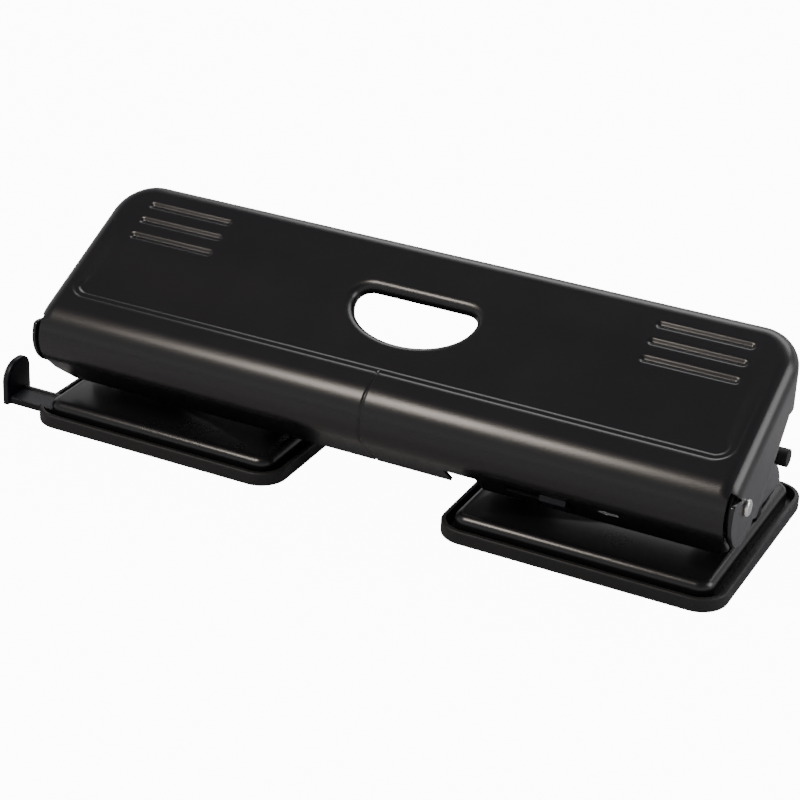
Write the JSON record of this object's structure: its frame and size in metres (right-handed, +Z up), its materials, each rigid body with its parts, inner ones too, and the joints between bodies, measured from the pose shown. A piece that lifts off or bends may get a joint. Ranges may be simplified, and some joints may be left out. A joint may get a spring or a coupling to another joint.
{
  "type": "hole punch",
  "caption": "Long-lever desk hole punch on steel bases, with guided spring-return punch pins, hinged chip trays, a sliding lever lock and an extending paper guide.",
  "frame": {"origin": "point on the table surface midway between the two bases, under the middle of the lever", "axes": "+X along the lever to the right as seen from the paper side, +Y away from the paper side, +Z up"},
  "size_m": [0.2756, 0.09, 0.0706],
  "materials": {
    "black_paint": "semi-gloss",
    "housing_casting": "satin",
    "hardened_steel": "ground",
    "tray_plastic": "matte",
    "steel_wire": "drawn",
    "zinc_steel": "zinc plated",
    "buffer_rubber": "matte",
    "guide_plastic": "semi-gloss"
  },
  "bodies": {
    "base": {"frame_channel": "black_paint", "punch_housing_1": "housing_casting", "punch_housing_2": "housing_casting", "punch_housing_3": "housing_casting", "punch_housing_4": "housing_casting", "base_plate_left": "black_paint", "base_plate_right": "black_paint", "die_plate_left": "hardened_steel", "die_plate_right": "hardened_steel", "base_rivets_left": "zinc_steel", "base_rivets_right": "zinc_steel", "frame_screws_left": "zinc_steel", "frame_screws_right": "zinc_steel", "return_spring_1": "steel_wire", "return_spring_2": "steel_wire", "return_spring_3": "steel_wire", "return_spring_4": "steel_wire", "pivot_rivet_left": "zinc_steel", "pivot_rivet_right": "zinc_steel", "pivot_washer_left": "zinc_steel", "pivot_washer_right": "zinc_steel", "lock_catch": "zinc_steel", "stop_buffer_left": "buffer_rubber", "stop_buffer_right": "buffer_rubber", "tray_hinge_pin_left": "steel_wire", "tray_hinge_pin_right": "steel_wire"},
    "lever": {"handle": "black_paint", "press_bar_left": "black_paint", "press_bar_right": "black_paint"},
    "lock": {"lock_slider": "guide_plastic"},
    "tray_left": {"chip_tray_left": "tray_plastic"},
    "tray_right": {"chip_tray_right": "tray_plastic"},
    "guide": {"paper_guide": "guide_plastic"},
    "pin_1": {"punch_pin_1": "hardened_steel", "pin_washer_1": "zinc_steel"},
    "pin_2": {"punch_pin_2": "hardened_steel", "pin_washer_2": "zinc_steel"},
    "pin_3": {"punch_pin_3": "hardened_steel", "pin_washer_3": "zinc_steel"},
    "pin_4": {"punch_pin_4": "hardened_steel", "pin_washer_4": "zinc_steel"}
  },
  "joints": [
    {"name": "handle_press", "type": "hinge", "parent": "base", "child": "lever", "pos_m": [0, -0.028, 0.032], "axis": [-1, 0, 0], "range_deg": [0, 22], "stiffness_Nm_per_rad": 2, "springref_deg": -20.05},
    {"name": "pin_1_travel", "type": "slide", "parent": "base", "child": "pin_1", "axis": [0, 0, -1], "range_m": [0, 0.01], "deforming": ["return_spring_1"]},
    {"name": "pin_2_travel", "type": "slide", "parent": "base", "child": "pin_2", "axis": [0, 0, -1], "range_m": [0, 0.01], "deforming": ["return_spring_2"]},
    {"name": "pin_3_travel", "type": "slide", "parent": "base", "child": "pin_3", "axis": [0, 0, -1], "range_m": [0, 0.01], "deforming": ["return_spring_3"]},
    {"name": "pin_4_travel", "type": "slide", "parent": "base", "child": "pin_4", "axis": [0, 0, -1], "range_m": [0, 0.01], "deforming": ["return_spring_4"]},
    {"name": "lock_slide", "type": "slide", "parent": "lever", "child": "lock", "axis": [-1, 0, 0], "range_m": [0, 0.012]},
    {"name": "tray_left_drop", "type": "hinge", "parent": "base", "child": "tray_left", "pos_m": [-0.08, 0.042, 0.0032], "axis": [1, 0, 0], "range_deg": [0, 60]},
    {"name": "tray_right_drop", "type": "hinge", "parent": "base", "child": "tray_right", "pos_m": [0.08, 0.042, 0.0032], "axis": [1, 0, 0], "range_deg": [0, 60]},
    {"name": "guide_slide", "type": "slide", "parent": "tray_left", "child": "guide", "axis": [-1, 0, 0], "range_m": [-0.012, 0.0065]}
  ],
  "couplings": [
    {"joint": "pin_1_travel", "follows": "handle_press", "m_per_rad": 0.026},
    {"joint": "pin_2_travel", "follows": "handle_press", "m_per_rad": 0.026},
    {"joint": "pin_3_travel", "follows": "handle_press", "m_per_rad": 0.026},
    {"joint": "pin_4_travel", "follows": "handle_press", "m_per_rad": 0.026}
  ]
}
